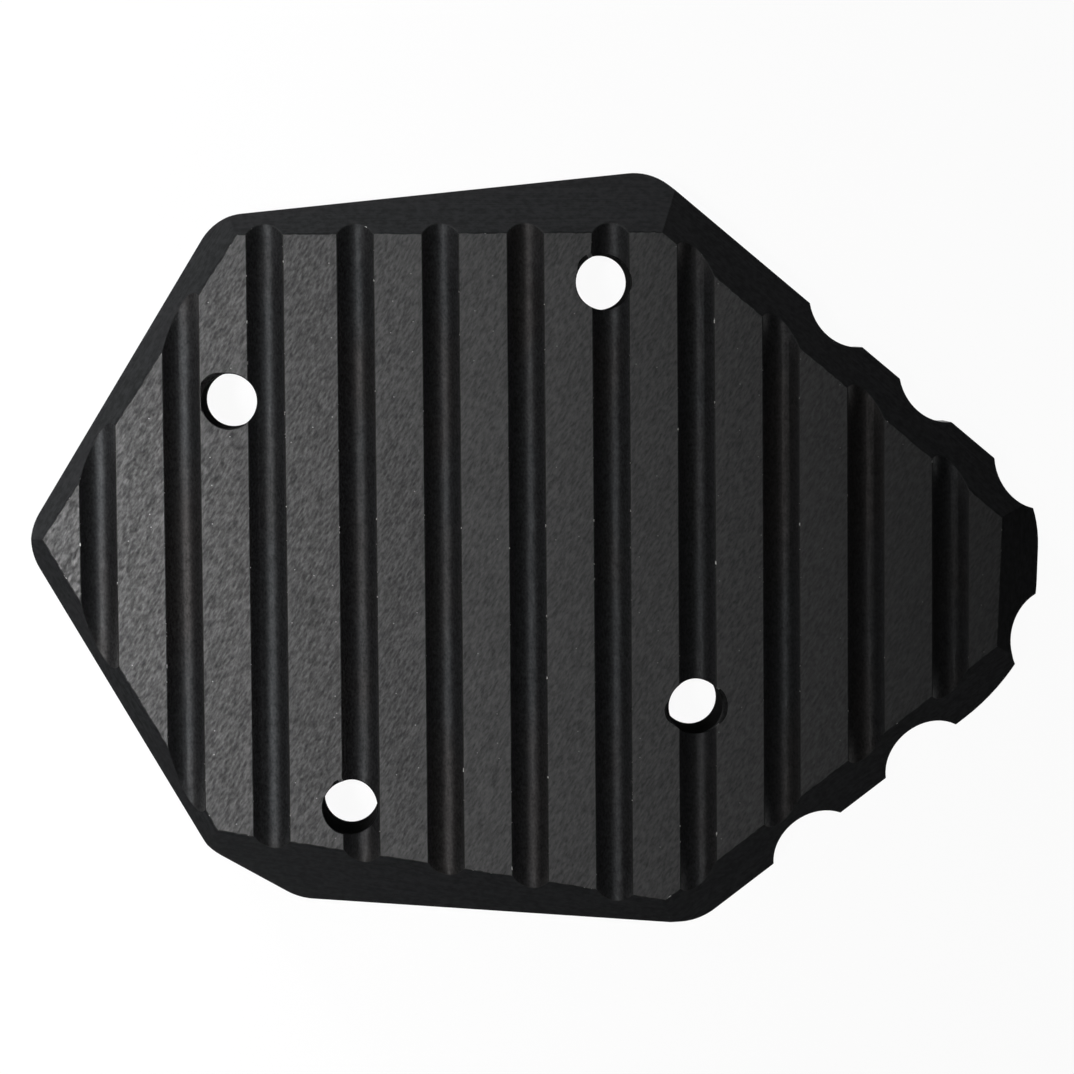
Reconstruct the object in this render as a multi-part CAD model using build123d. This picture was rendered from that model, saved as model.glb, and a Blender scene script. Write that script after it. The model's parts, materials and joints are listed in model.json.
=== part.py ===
from build123d import *
import math
import os

# Kickstand foot enlarger: one milled plate, lying with its grooved ground face up.
# Millimetres. +X runs from the tip to the nose, +Y across the plate, +Z up from the flat face
# that sits against the stand. The origin is under the middle of the plate.

# Plate
plate_length = 120.0
plate_width = 89.6
plate_thickness = 12.0

# Outline: straight sides round eight corner circles, clockwise from the tip.
# Insets run from the sides of the plate's box to a circle's centre.
corner_radius = 6.4
nose_upper_radius = 12.5
nose_lower_radius = 22.0
tip_from_top = 43.0
shoulder_from_tip = 26.0
shoulder_from_top = 10.9
crown_from_nose = 48.1
nose_upper_from_top = 44.6
nose_flat = 3.8
nose_lean = 2.2
heel_from_nose = 42.8
belly_from_tip = 33.05
belly_from_bottom = 9.1
flank_from_tip = 25.3
flank_from_bottom = 14.1

# Sloping walls from the ground face down to the outline: how far each one reaches inward
# at the first and the last end of its side.
wall_slope = 45.0
upper_left_run = (2.1, 3.35)
top_run = (2.5, 7.2)
upper_right_run = (5.1, 5.1)
nose_run = (5.2, 5.2)
lower_right_run = (5.3, 5.3)
bottom_run = (2.85, 7.5)
lower_left_run = (2.3, 2.3)

# Round bites along the nose: distance back from the nose end of a side, and depth of bite.
scallop_radius = 5.75
upper_scallops = [(-3.5, 2.3), (11.9, 1.65), (25.9, 1.7)]
nose_scallops = [(10.8, 3.4)]
lower_scallops = [(6.5, 3.45), (23.7, 3.0)]

# Ball-cut grooves across the ground face, in two runs with a slightly wider land between them.
groove_radius = 2.5
groove_depth = 1.2
groove_pitch = 10.0
groove_from_tip = 8.1
groove_from_nose = 11.25
first_run_grooves = 3
wide_land_extra = 0.65

# Screw holes for the stand's foot, placed from the middle of the plate.
screw_hole_diameter = 6.5
screw_holes = [(-36.3, 18.2), (7.9, 31.8), (18.55, -18.5), (-22.6, -30.1)]

left, right = -plate_length / 2, plate_length / 2
bottom, top = -plate_width / 2, plate_width / 2

# The nose is a short flat, leaning inward, that runs on into the larger lower circle.
nose_outward = Vector(1, 0).rotate(Axis.Z, -nose_lean)
nose_upper_centre = Vector(right - nose_upper_radius, top - nose_upper_from_top)
nose_flat_start = nose_upper_centre + nose_outward * nose_upper_radius
nose_flat_end = nose_flat_start + nose_outward.rotate(Axis.Z, -90) * nose_flat
nose_lower_centre = nose_flat_end - nose_outward * nose_lower_radius

corner_circles = [
    (Vector(left + corner_radius, top - tip_from_top), corner_radius),
    (Vector(left + shoulder_from_tip, top - shoulder_from_top), corner_radius),
    (Vector(right - crown_from_nose, top - corner_radius), corner_radius),
    (nose_upper_centre, nose_upper_radius),
    (nose_lower_centre, nose_lower_radius),
    (Vector(right - heel_from_nose, bottom + corner_radius), corner_radius),
    (Vector(left + belly_from_tip, bottom + belly_from_bottom), corner_radius),
    (Vector(left + flank_from_tip, bottom + flank_from_bottom), corner_radius),
]


def tangent_side(first, last):
    # The straight side that touches two corner circles: its ends and its outward direction.
    (first_centre, first_radius), (last_centre, last_radius) = first, last
    span = last_centre - first_centre
    lean = math.degrees(math.asin((first_radius - last_radius) / span.length))
    outward = span.normalized().rotate(Axis.Z, 90 - lean)
    return first_centre + outward * first_radius, last_centre + outward * last_radius, outward


sides = [
    tangent_side(circle, corner_circles[(i + 1) % len(corner_circles)])
    for i, circle in enumerate(corner_circles)
]
upper_left, top_side, upper_right, nose, lower_right, bottom_side, facet, lower_left = sides

with BuildSketch() as outline:
    with BuildLine():
        for i, (start, end, outward) in enumerate(sides):
            centre, radius = corner_circles[i]
            before_end, before_outward = sides[i - 1][1], sides[i - 1][2]
            middle = centre + (before_outward + outward).normalized() * radius
            ThreePointArc(before_end, middle, start)
            Line(start, end)
    make_face()

plate = extrude(outline.sketch, plate_thickness)

# Each wall is one plane through its edge of the ground face. The facet between the bottom
# and the lower left has none of its own.
walls = [
    (upper_left, upper_left_run),
    (top_side, top_run),
    (upper_right, upper_right_run),
    (nose, nose_run),
    (lower_right, lower_right_run),
    (bottom_side, bottom_run),
    (lower_left, lower_left_run),
]
up = Vector(0, 0, 1)
for (start, end, outward), (start_run, end_run) in walls:
    edge_start = start - outward * start_run + up * plate_thickness
    edge_end = end - outward * end_run + up * plate_thickness
    edge_outward = up.cross(edge_end - edge_start).normalized()
    tilt = math.radians(wall_slope)
    wall_normal = edge_outward * math.sin(tilt) + up * math.cos(tilt)
    plate = split(plate, bisect_by=Plane(edge_start, z_dir=wall_normal), keep=Keep.BOTTOM)


def scallop(nose_end, far_end, outward, distance, bite):
    along = (far_end - nose_end).normalized()
    centre = nose_end + along * distance + outward * (scallop_radius - bite)
    cutter = Cylinder(scallop_radius, plate_thickness, align=(Align.CENTER, Align.CENTER, Align.MIN))
    return Pos(centre) * cutter


scallops = [scallop(upper_right[1], upper_right[0], upper_right[2], *place) for place in upper_scallops]
scallops += [scallop(*nose, *place) for place in nose_scallops]
scallops += [scallop(*lower_right, *place) for place in lower_scallops]

# Whole grooves at the even spacing nearest to the pitch.
groove_room = plate_length - groove_from_tip - wide_land_extra - groove_from_nose
groove_spaces = round(groove_room / groove_pitch)
groove_height = plate_thickness - groove_depth + groove_radius
grooves = []
for i in range(groove_spaces + 1):
    x = left + groove_from_tip + groove_room * i / groove_spaces
    if i >= first_run_grooves:
        x += wide_land_extra
    grooves.append(Pos(x, 0, groove_height) * Rot(X=90) * Cylinder(groove_radius, plate_width))

holes = [
    Pos(x, y, plate_thickness / 2) * Cylinder(screw_hole_diameter / 2, plate_thickness)
    for x, y in screw_holes
]

foot_plate = plate - scallops - grooves - holes

os.makedirs("parts", exist_ok=True)
export_step(foot_plate, "parts/foot_plate.step")
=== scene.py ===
import bpy
import bmesh
import json
import math
import random
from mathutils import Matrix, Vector


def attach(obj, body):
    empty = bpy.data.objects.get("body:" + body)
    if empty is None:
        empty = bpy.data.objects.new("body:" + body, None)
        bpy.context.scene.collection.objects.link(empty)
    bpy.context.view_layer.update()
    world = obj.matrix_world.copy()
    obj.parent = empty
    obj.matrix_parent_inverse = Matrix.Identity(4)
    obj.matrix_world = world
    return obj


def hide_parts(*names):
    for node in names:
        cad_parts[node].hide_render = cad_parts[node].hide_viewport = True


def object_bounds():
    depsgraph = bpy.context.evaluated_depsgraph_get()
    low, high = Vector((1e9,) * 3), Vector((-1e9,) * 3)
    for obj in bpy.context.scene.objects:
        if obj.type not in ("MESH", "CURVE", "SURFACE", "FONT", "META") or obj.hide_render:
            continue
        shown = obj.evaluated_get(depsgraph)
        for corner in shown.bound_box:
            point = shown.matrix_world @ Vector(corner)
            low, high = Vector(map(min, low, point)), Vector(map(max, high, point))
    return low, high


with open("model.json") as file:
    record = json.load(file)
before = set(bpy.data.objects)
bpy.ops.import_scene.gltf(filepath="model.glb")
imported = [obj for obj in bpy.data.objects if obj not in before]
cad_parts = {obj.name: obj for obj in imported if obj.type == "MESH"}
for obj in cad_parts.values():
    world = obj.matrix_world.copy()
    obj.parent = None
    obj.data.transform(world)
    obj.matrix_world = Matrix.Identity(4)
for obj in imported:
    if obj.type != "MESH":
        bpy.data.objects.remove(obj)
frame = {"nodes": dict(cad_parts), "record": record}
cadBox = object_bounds()
mm = 0.001
print("plate loaded", [round(v, 4) for v in (*cadBox[0], *cadBox[1])])


# small helpers for node trees

def newFinish(name):
    finish = bpy.data.materials.new(name)
    finish.use_nodes = True
    return finish, finish.node_tree, finish.node_tree.nodes["Principled BSDF"]


def setInputs(tree, node, inputs):
    # an input takes another node's output or a plain value
    for key, value in inputs.items():
        if isinstance(value, bpy.types.NodeSocket):
            tree.links.new(value, node.inputs[key])
        else:
            node.inputs[key].default_value = value


def addNode(tree, kind, inputs=None, **settings):
    node = tree.nodes.new(kind)
    for key, value in settings.items():
        setattr(node, key, value)
    setInputs(tree, node, inputs or {})
    return node


def addMath(tree, operation, *values):
    return addNode(tree, "ShaderNodeMath", dict(enumerate(values)), operation=operation).outputs[0]


def objectPlace(tree):
    return addNode(tree, "ShaderNodeTexCoord").outputs["Object"]


def patternSpace(tree, size, turn=0.0):
    # object coordinates in units of one mark: its length, width and height in metres
    mapping = addNode(tree, "ShaderNodeMapping", {
        "Vector": objectPlace(tree), "Rotation": (0, 0, math.radians(turn)), "Scale": size},
        vector_type="TEXTURE")
    return mapping.outputs["Vector"]


def grain(tree, size, turn=0.0, detail=2.0, rough=0.5):
    noise = addNode(tree, "ShaderNodeTexNoise", {
        "Vector": patternSpace(tree, size, turn), "Scale": 1.0, "Detail": detail, "Roughness": rough})
    return noise.outputs["Fac"]


def remap(tree, value, span, to=(0.0, 1.0)):
    node = addNode(tree, "ShaderNodeMapRange", {
        "Value": value, "From Min": span[0], "From Max": span[1], "To Min": to[0], "To Max": to[1]})
    return node.outputs["Result"]


def blendColor(tree, factor, first, second):
    # inputs 0, 6 and 7 and output 2 are the node's sockets for colours
    node = addNode(tree, "ShaderNodeMix", {0: factor, 6: first, 7: second}, data_type="RGBA")
    return node.outputs[2]


def addBump(tree, height, depth, under=None):
    inputs = {"Height": height, "Distance": depth, "Strength": 1.0}
    if under is not None:
        inputs["Normal"] = under
    return addNode(tree, "ShaderNodeBump", inputs).outputs["Normal"]


def flecks(tree, spacing, radius, core, share):
    # round specks that fade out past their core, one in some of the cells
    cells = addNode(tree, "ShaderNodeTexVoronoi", {
        "Vector": patternSpace(tree, (spacing, spacing, spacing)), "Scale": 1.0, "Randomness": 1.0},
        voronoi_dimensions="2D")
    near = remap(tree, cells.outputs["Distance"], (radius / spacing, core * radius / spacing))
    draw = addNode(tree, "ShaderNodeSeparateColor", {"Color": cells.outputs["Color"]}).outputs["Red"]
    return addMath(tree, "MULTIPLY", near, addMath(tree, "GREATER_THAN", draw, 1.0 - share))


# black anodised finishes: a span is the part of a pattern's range that is used

landLook = {
    # lighter than the walls' black: partly painted light on the ground face, partly its blasted finish
    "black": (0.0224, 0.0224, 0.0228, 1),
    "worn": (0.0254, 0.0254, 0.0257, 1),
    "cloud": (9 * mm, 6 * mm, 6 * mm),
    "cloudTurn": 30.0,
    "streak": (0.72 * mm, 0.27 * mm, 0.27 * mm),
    "streakTurn": 60.0,
    "streakDepth": 0.008 * mm,
    "streakSpan": (0.25, 0.75),
    "roughness": (0.59, 0.34),
    "specular": (0.085, 0.495),
    "pit": (0.26 * mm, 0.26 * mm, 0.26 * mm),
    "pitDepth": 0.006 * mm,
    # light specks: painted glints
    "paintedGlintColor": (0.10, 0.10, 0.10, 1),
    "speck": {"spacing": 2.4 * mm, "radius": 0.09 * mm, "core": 0.6, "share": 0.17},
}


def landFinish():
    finish, tree, shader = newFinish("blastedBlackLand")
    streaks = grain(tree, landLook["streak"], landLook["streakTurn"])
    pits = grain(tree, landLook["pit"], detail=0.0)
    cloud = grain(tree, landLook["cloud"], landLook["cloudTurn"])
    # light specks on the ground face are painted glints
    paintedGlints = flecks(tree, **landLook["speck"])
    base = blendColor(tree, cloud, landLook["black"], landLook["worn"])
    pitted = addBump(tree, pits, landLook["pitDepth"])
    setInputs(tree, shader, {
        "Base Color": blendColor(tree, paintedGlints, base, landLook["paintedGlintColor"]),
        "Roughness": remap(tree, streaks, landLook["streakSpan"], landLook["roughness"]),
        "Specular IOR Level": remap(tree, streaks, landLook["streakSpan"], landLook["specular"]),
        "Normal": addBump(tree, streaks, landLook["streakDepth"], pitted),
    })
    return finish


grooveLook = {
    # darker than the walls' black: partly painted shade in the grooves, partly their milled finish
    "black": (0.0048, 0.0048, 0.0051, 1),
    "brown": (0.0050, 0.0048, 0.0048, 1),
    "warm": (1.0, 0.955, 0.94, 1),
    "cool": (0.93, 0.97, 1.0, 1),
    "tint": (8 * mm, 18 * mm, 8 * mm),
    "brownSpan": (0.5, 0.7),
    "warmSpan": (0.4, 0.6),
    "pit": (0.24 * mm, 0.40 * mm, 0.24 * mm),
    "pitDepth": 0.003 * mm,
    "blotch": (0.9 * mm, 1.5 * mm, 0.9 * mm),
    "blotchShare": 0.5,
    "mottleSpan": (0.45, 1.05),
    "roughness": (0.515, 0.465),
    "specular": (0.11, 0.32),
}


def grooveFinish():
    finish, tree, shader = newFinish("ballMilledGroove")
    tint = grain(tree, grooveLook["tint"])
    brown = remap(tree, tint, grooveLook["brownSpan"])
    warm = remap(tree, tint, grooveLook["warmSpan"])
    pits = grain(tree, grooveLook["pit"], detail=1.0)
    blotch = grain(tree, grooveLook["blotch"], detail=1.0)
    mottle = addMath(tree, "MULTIPLY_ADD", blotch, grooveLook["blotchShare"], pits)
    setInputs(tree, shader, {
        "Base Color": blendColor(tree, brown, grooveLook["black"], grooveLook["brown"]),
        "Roughness": remap(tree, mottle, grooveLook["mottleSpan"], grooveLook["roughness"]),
        "Specular IOR Level": remap(tree, mottle, grooveLook["mottleSpan"], grooveLook["specular"]),
        "Specular Tint": blendColor(tree, warm, grooveLook["cool"], grooveLook["warm"]),
        "Normal": addBump(tree, pits, grooveLook["pitDepth"]),
    })
    return finish


wallLook = {
    "black": (0.0106, 0.0109, 0.0113, 1),
    "pale": (0.0163, 0.0167, 0.0174, 1),
    "line": (30 * mm, 30 * mm, 0.11 * mm),
    "lineDepth": 0.002 * mm,
    "lineSpan": (0.3, 0.7),
    "lineShare": 0.5,
    "mottle": (0.8 * mm, 0.8 * mm, 0.45 * mm),
    "markSpan": (0.6, 0.9),
    "roughness": (0.45, 0.55),
    "specular": {"milledRimWall": 0.0, "milledSide": 0.30, "flatBack": 0.30},
}


def wallFinish(name):
    finish, tree, shader = newFinish(name)
    lines = grain(tree, wallLook["line"], rough=0.6)
    mottle = grain(tree, wallLook["mottle"], detail=3.0, rough=0.6)
    marks = addMath(tree, "MULTIPLY_ADD", lines, wallLook["lineShare"], mottle)
    paleness = remap(tree, marks, wallLook["markSpan"])
    setInputs(tree, shader, {
        "Base Color": blendColor(tree, paleness, wallLook["black"], wallLook["pale"]),
        "Roughness": remap(tree, lines, wallLook["lineSpan"], wallLook["roughness"]),
        "Specular IOR Level": wallLook["specular"][name],
        "Normal": addBump(tree, lines, wallLook["lineDepth"]),
    })
    return finish


holeLook = {
    # both are paler than the ground face's black: painted light in the hole's shade
    "black": (0.028, 0.028, 0.0283, 1),
    "pale": (0.043, 0.043, 0.0433, 1),
    "paintedTopShade": (0.0060, 0.0060, 0.0061, 1),
    "paintedTopShadeDepth": 1.6 * mm,
    "line": (20 * mm, 20 * mm, 0.16 * mm),
    "lineDepth": 0.004 * mm,
    "lineSpan": (0.35, 0.65),
    "roughness": 0.7,
    "specular": 0.0001,
}


def holeFinish():
    finish, tree, shader = newFinish("drilledHole")
    lines = grain(tree, holeLook["line"], detail=1.0)
    base = blendColor(tree, remap(tree, lines, holeLook["lineSpan"]), holeLook["black"], holeLook["pale"])
    # painted shade: darker over the top of the wall toward the deburred rim, where the lamps reach
    top = cadBox[1][2]
    height = addNode(tree, "ShaderNodeSeparateXYZ", {"Vector": objectPlace(tree)}).outputs["Z"]
    paintedTopShade = remap(tree, height, (top - holeLook["paintedTopShadeDepth"], top))
    setInputs(tree, shader, {
        "Base Color": blendColor(tree, paintedTopShade, base, holeLook["paintedTopShade"]),
        "Roughness": holeLook["roughness"],
        "Specular IOR Level": holeLook["specular"],
        "Normal": addBump(tree, lines, holeLook["lineDepth"]),
    })
    return finish


rimLook = {
    # darker than the ground face's black: partly painted shade on rims that face the lamps
    "black": (0.0060, 0.0060, 0.0061, 1),
    "pale": (0.0135, 0.0135, 0.0137, 1),
    "mottle": (0.5 * mm, 0.5 * mm, 0.5 * mm),
    "mottleSpan": (0.4, 0.7),
    "roughness": 0.62,
    "specular": 0.0001,
}

edgeLook = {
    "black": (0.012, 0.012, 0.0122, 1),
    "pale": (0.40, 0.40, 0.39, 1),  # bare metal, and painted glints
    "mottle": (0.9 * mm, 0.9 * mm, 0.9 * mm),
    "mottleSpan": (0.66, 0.76),
    "roughness": 0.50,
    "specular": 0.10,
}


def mottledFinish(name, look):
    finish, tree, shader = newFinish(name)
    mottle = remap(tree, grain(tree, look["mottle"], rough=0.6), look["mottleSpan"])
    setInputs(tree, shader, {
        "Base Color": blendColor(tree, mottle, look["black"], look["pale"]),
        "Roughness": look["roughness"],
        "Specular IOR Level": look["specular"],
    })
    return finish


# the plate: a merged copy of the solid's mesh with its edges broken

plateLook = {
    "mergeWithin": 0.002 * mm,
    "flatWithin": 0.2,  # degrees
    "raggedStep": 0.5 * mm,
    "ragged": (0.06 * mm, 0.05 * mm),  # toward the tip, toward the nose
    "raggedFrom": 15 * mm,
    "seed": 7,
    "rimBreak": 0.10 * mm,
    "rimReach": 0.75 * mm,
    "edgeBreak": 0.08 * mm,
    "edgeSegments": 2,
    "sharpFrom": 30.0,  # degrees
    "grooveSlice": 2.0 * mm,
    "sliceWithin": 0.0005 * mm,
}

# where the deburring tool bit wider: direction and half spread in degrees, extra width, and for one
# the least x that it reaches, short of the next groove
deburrLook = [
    {"hole": "screw_hole_left", "direction": 150, "spread": 42, "width": 0.60 * mm, "leastX": -39.65 * mm},
    {"hole": "screw_hole_top", "direction": 128, "spread": 22, "width": 0.46 * mm},
    {"hole": "screw_hole_right", "direction": 3, "spread": 38, "width": 0.42 * mm},
    {"hole": "screw_hole_right", "direction": 193, "spread": 20, "width": 0.45 * mm},
    {"hole": "screw_hole_bottom", "direction": 112, "spread": 16, "width": 0.30 * mm},
]

# how the solid's faces are told apart, by their normals and places
faceSigns = {
    "downBelow": -0.9,
    "uprightWithin": 0.05,
    "levelFrom": 0.999,
    "acrossWithin": 0.02,
    "groundWithin": 0.05 * mm,
    "holeWithin": 0.1 * mm,
    "lastGrooveX": 52.8 * mm,
}

# in the order of the plate's material slots
finishNames = ("land", "groove", "rimWall", "side", "hole", "back", "edge", "rim")

chance = random.Random(plateLook["seed"])


def finishName(face):
    return finishNames[face.material_index]


def finishesOf(faces):
    return {finishName(face) for face in faces}


def setFinish(face, name):
    face.material_index = finishNames.index(name)


def holeCentres():
    return {mount["name"]: (Vector(mount["pos_m"]).to_2d(), mount["dims"]["r_mm"] * mm)
            for mount in frame["record"]["mounts"] if mount["kind"] == "bore"}


def isNearHole(place, holes, reach):
    return any((place.to_2d() - centre).length < radius + reach for centre, radius in holes.values())


def solidFinish(face, top, holes):
    normal, centre = face.normal, face.calc_center_median()
    if normal.z < faceSigns["downBelow"]:
        return "back"
    if abs(normal.z) < faceSigns["uprightWithin"]:
        return "hole" if isNearHole(centre, holes, faceSigns["holeWithin"]) else "side"
    if normal.z > faceSigns["levelFrom"] and centre.z > top - faceSigns["groundWithin"]:
        return "land"
    across = abs(normal.y) < faceSigns["acrossWithin"] and centre.x < faceSigns["lastGrooveX"]
    return "groove" if across else "rimWall"


def raggedGroundEdge(bm):
    # the milled edge between the ground face and a rim wall wanders a little
    for edge in [edge for edge in bm.edges if finishesOf(edge.link_faces) == {"land", "rimWall"}]:
        cuts = int(edge.calc_length() / plateLook["raggedStep"])
        if cuts < 2:
            continue
        wall = next(face for face in edge.link_faces if finishName(face) == "rimWall")
        outward = Vector((wall.normal.x, wall.normal.y, 0)).normalized()
        ends = set(edge.verts)
        made = bmesh.ops.subdivide_edges(bm, edges=[edge], cuts=cuts)
        for vert in made["geom_inner"]:
            if isinstance(vert, bmesh.types.BMVert) and vert not in ends:
                reach = plateLook["ragged"][vert.co.x > plateLook["raggedFrom"]]
                vert.co += outward * chance.uniform(-reach, reach)


def breakEdges(bm, edges, width):
    made = bmesh.ops.bevel(bm, geom=edges, offset=width, offset_type="OFFSET", affect="EDGES",
                           segments=plateLook["edgeSegments"], profile=0.5, material=-1, clamp_overlap=False)
    return set(made["faces"])


def widenRims(rims, holes):
    # the outer ring of a rim moves out over the ground face where the tool bit wider
    outer = {vert for strip in rims for vert in strip.verts
             if any(finishName(face) == "land" and face not in rims for face in vert.link_faces)}
    for bite in deburrLook:
        centre, radius = holes[bite["hole"]]
        leastX = bite.get("leastX", cadBox[0][0])
        for vert in outer:
            out = vert.co.to_2d() - centre
            away = (math.degrees(math.atan2(out.y, out.x)) - bite["direction"] + 180) % 360 - 180
            if out.length < radius + 2 * plateLook["rimBreak"] and abs(away) < 90:
                # full width in the middle, falling off steeply at both ends
                shift = out.normalized() * bite["width"] * math.exp(-(away / bite["spread"]) ** 4)
                if vert.co.x + shift.x < leastX:
                    shift *= max(0.0, (vert.co.x - leastX) / -shift.x)
                vert.co += shift.to_3d()


def finishStrips(strips, top, holes):
    # strips by the holes are deburred, and those next to the ground face and the grooves are rubbed, with
    # bare spots on them that are partly painted glints
    for strip in strips:
        centre = strip.calc_center_median()
        beside = [face for edge in strip.edges for face in edge.link_faces if face not in strips]
        if centre.z > top / 2 and isNearHole(centre, holes, plateLook["rimReach"]):
            setFinish(strip, "rim")
        elif finishesOf(beside) & {"land", "groove"}:
            setFinish(strip, "edge")


def sliceGrooves(bm, width):
    # cross cuts along the grooves, so that their shading follows the round form
    steps = int(width / plateLook["grooveSlice"])
    for i in range(1, steps):
        faces = [face for face in bm.faces if finishName(face) == "groove"]
        edges = {edge for face in faces for edge in face.edges}
        verts = {vert for face in faces for vert in face.verts}
        bmesh.ops.bisect_plane(bm, geom=[*verts, *edges, *faces], dist=plateLook["sliceWithin"],
                               plane_co=(0, width * (i / steps - 0.5), 0), plane_no=(0, 1, 0))


def shadeFaces(bm, strips):
    # flat faces stay flat up to the strips, and round ones are smooth within themselves
    for face in bm.faces:
        face.smooth = True
    for edge in bm.edges:
        kinds = {"strip" if face in strips else finishName(face) for face in edge.link_faces}
        edge.smooth = len(kinds) == 1 and not kinds & {"land", "rimWall", "back"}


def buildPlate():
    top = cadBox[1][2]
    holes = holeCentres()
    bm = bmesh.new()
    bm.from_mesh(frame["nodes"]["foot_plate"].data)
    bmesh.ops.remove_doubles(bm, verts=bm.verts, dist=plateLook["mergeWithin"])
    bmesh.ops.dissolve_limit(bm, angle_limit=math.radians(plateLook["flatWithin"]),
                             verts=bm.verts, edges=bm.edges)
    bm.normal_update()
    for face in bm.faces:
        setFinish(face, solidFinish(face, top, holes))
    raggedGroundEdge(bm)
    upperRims = [edge for edge in bm.edges if "hole" in finishesOf(edge.link_faces)
                 and finishesOf(edge.link_faces) & {"land", "groove"}]
    rims = breakEdges(bm, upperRims, plateLook["rimBreak"])
    widenRims(rims, holes)
    turn = math.radians(plateLook["sharpFrom"])
    sharp = [edge for edge in bm.edges
             if edge.calc_face_angle(0.0) > turn and not rims.intersection(edge.link_faces)]
    strips = breakEdges(bm, sharp, plateLook["edgeBreak"])
    finishStrips(strips, top, holes)
    rims = {strip for strip in rims if strip.is_valid}
    for strip in rims:
        setFinish(strip, "rim")
    sliceGrooves(bm, cadBox[1][1] - cadBox[0][1])
    bmesh.ops.dissolve_degenerate(bm, dist=plateLook["mergeWithin"], edges=bm.edges)
    shadeFaces(bm, {strip for strip in strips | rims if strip.is_valid})
    mesh = bpy.data.meshes.new("footPlate")
    bm.to_mesh(mesh)
    bm.free()
    plate = bpy.data.objects.new("footPlate", mesh)
    bpy.context.scene.collection.objects.link(plate)
    finishes = {
        "land": landFinish(),
        "groove": grooveFinish(),
        "rimWall": wallFinish("milledRimWall"),
        "side": wallFinish("milledSide"),
        "hole": holeFinish(),
        "back": wallFinish("flatBack"),
        "edge": mottledFinish("rubbedEdgeAndGlints", edgeLook),
        "rim": mottledFinish("deburredRim", rimLook),
    }
    for name in finishNames:
        mesh.materials.append(finishes[name])
    return plate


plate = buildPlate()
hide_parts("foot_plate")
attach(plate, "root")
print("plate built", len(plate.data.polygons), "faces")


# floor and backdrop

stageLook = {
    "white": (0.80, 0.80, 0.80, 1),
    "glow": 0.95,
    "floorRadius": 3.0,
    "floorDrop": 0.2 * mm,
    "backdropHeight": 0.4,
    "segments": 96,
}


def stageFinish():
    # glows white where the camera or a reflection sees it, and is plain paint for all other light
    finish, tree, shader = newFinish("paleStage")
    tree.nodes.remove(shader)
    rays = addNode(tree, "ShaderNodeLightPath").outputs
    seen = rays["Is Camera Ray"]
    for kind in ("Is Glossy Ray", "Is Transmission Ray"):
        seen = addMath(tree, "MAXIMUM", seen, rays[kind])
    share = addMath(tree, "MULTIPLY", seen, stageLook["glow"])
    paint = addNode(tree, "ShaderNodeBsdfDiffuse", {"Color": stageLook["white"]}).outputs[0]
    glow = addNode(tree, "ShaderNodeEmission", {"Color": (1, 1, 1, 1), "Strength": 1.0}).outputs[0]
    mixed = addNode(tree, "ShaderNodeMixShader", {0: share, 1: paint, 2: glow}).outputs[0]
    setInputs(tree, tree.nodes["Material Output"], {"Surface": mixed})
    return finish


def buildStage():
    finish = stageFinish()
    radius, segments, height = (stageLook[key] for key in ("floorRadius", "segments", "backdropHeight"))
    for name in ("floor", "backdrop"):
        bm = bmesh.new()
        if name == "floor":
            bmesh.ops.create_circle(bm, cap_ends=True, segments=segments, radius=radius)
        else:
            bmesh.ops.create_cone(bm, cap_ends=False, segments=segments, radius1=radius, radius2=radius,
                                  depth=height)
            bmesh.ops.translate(bm, verts=bm.verts, vec=(0, 0, height / 2))
            bmesh.ops.reverse_faces(bm, faces=bm.faces)
        bmesh.ops.translate(bm, verts=bm.verts, vec=(0, 0, -stageLook["floorDrop"]))
        mesh = bpy.data.meshes.new(name)
        bm.to_mesh(mesh)
        bm.free()
        mesh.materials.append(finish)
        obj = bpy.data.objects.new(name, mesh)
        bpy.context.scene.collection.objects.link(obj)


buildStage()
print("stage built")


# light

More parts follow.
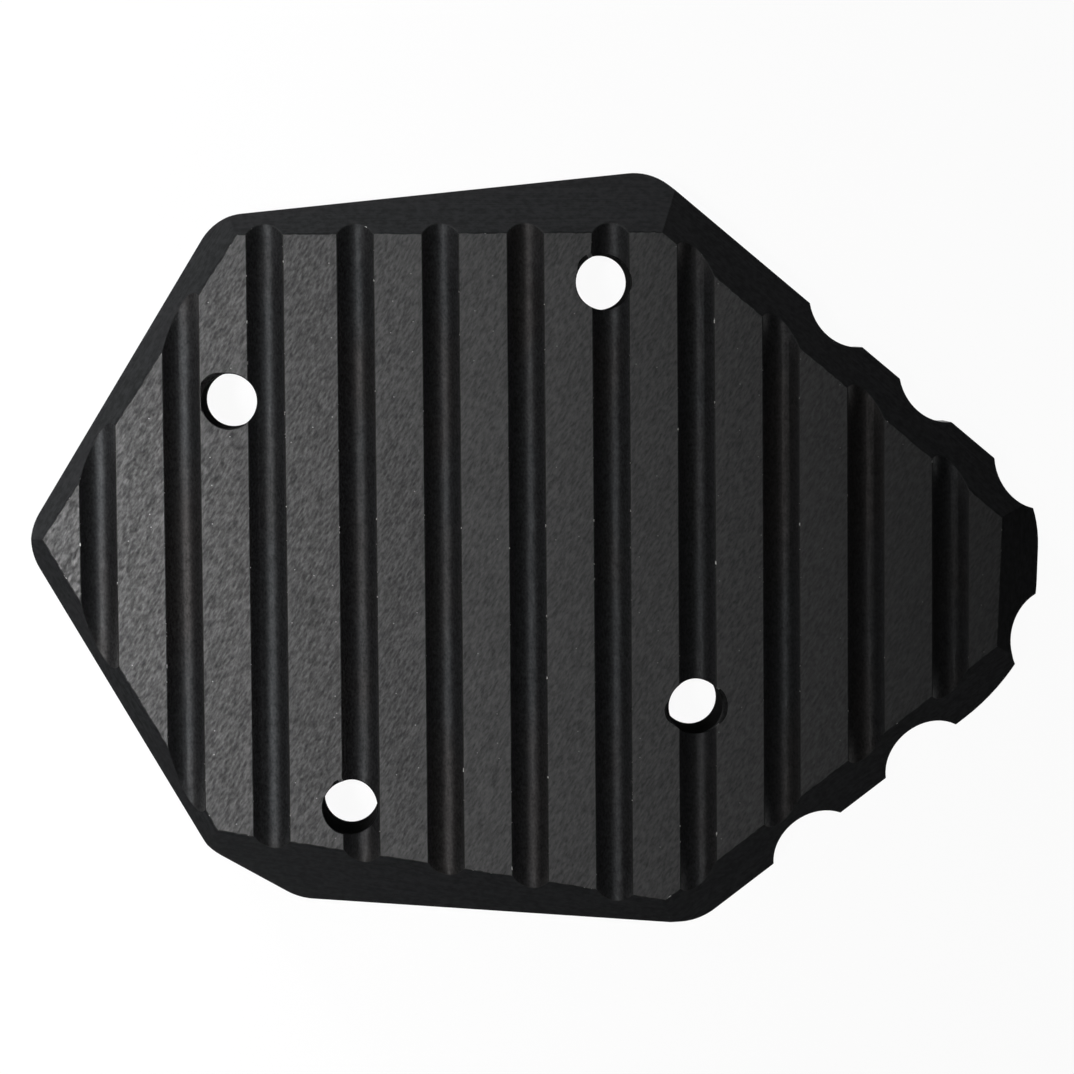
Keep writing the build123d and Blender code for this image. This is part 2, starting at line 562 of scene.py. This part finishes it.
lightLook = {
    "world": 0.025,
    "key": {"place": (-0.4126, -0.1186, 1.18), "aim": (-0.1383, -0.0356, 0.012), "size": (0.16, 0.80),
            "power": 0.975, "beam": 15.35},
    "upperLeft": {"place": (-0.560, 0.810, 0.110), "aim": (-0.07, 0.035, 0.008), "size": (0.2, 0.2),
                  "power": 0.36, "beam": 22},
    "lowerRight": {"place": (0.325, -0.892, 0.313), "aim": (0, 0, 0), "size": (0.5, 0.5),
                   "power": 3.9, "beam": 180},
}


def addSoftbox(name, look):
    lamp = bpy.data.lights.new(name, "AREA")
    lamp.shape = "RECTANGLE"
    lamp.size, lamp.size_y = look["size"]
    lamp.energy = look["power"]
    lamp.spread = math.radians(look["beam"])
    obj = bpy.data.objects.new(name, lamp)
    obj.location = look["place"]
    toward = (Vector(look["aim"]) - Vector(look["place"])).normalized()
    obj.rotation_euler = (math.asin(toward.y), math.atan2(-toward.x, -toward.z), 0)
    bpy.context.scene.collection.objects.link(obj)


world = bpy.data.worlds.new("studio")
bpy.context.scene.world = world
world.use_nodes = True
setInputs(world.node_tree, world.node_tree.nodes["Background"], {
    "Color": (1, 1, 1, 1), "Strength": lightLook["world"]})
for name in ("key", "upperLeft", "lowerRight"):
    addSoftbox(name, lightLook[name])
bpy.context.scene.view_settings.view_transform = "Standard"
print("light set")


# camera, straight above with a slight lean

cameraLook = {
    "place": (-0.013850, 0.028480, 0.457535),
    "turn": (-3.95285, -0.65958, -0.52514),  # degrees
    "lens": 126.704,
    "sensor": 36.0,
    "shift": (0.0694, 0.0338),
    "clip": (0.01, 20.0),
}

lens = bpy.data.cameras.new("camera")
lens.sensor_width = cameraLook["sensor"]
lens.lens = cameraLook["lens"]
lens.shift_x, lens.shift_y = cameraLook["shift"]
lens.clip_start, lens.clip_end = cameraLook["clip"]
camera = bpy.data.objects.new("camera", lens)
camera.location = cameraLook["place"]
camera.rotation_euler = [math.radians(angle) for angle in cameraLook["turn"]]
bpy.context.scene.collection.objects.link(camera)
bpy.context.scene.camera = camera
print("camera set")
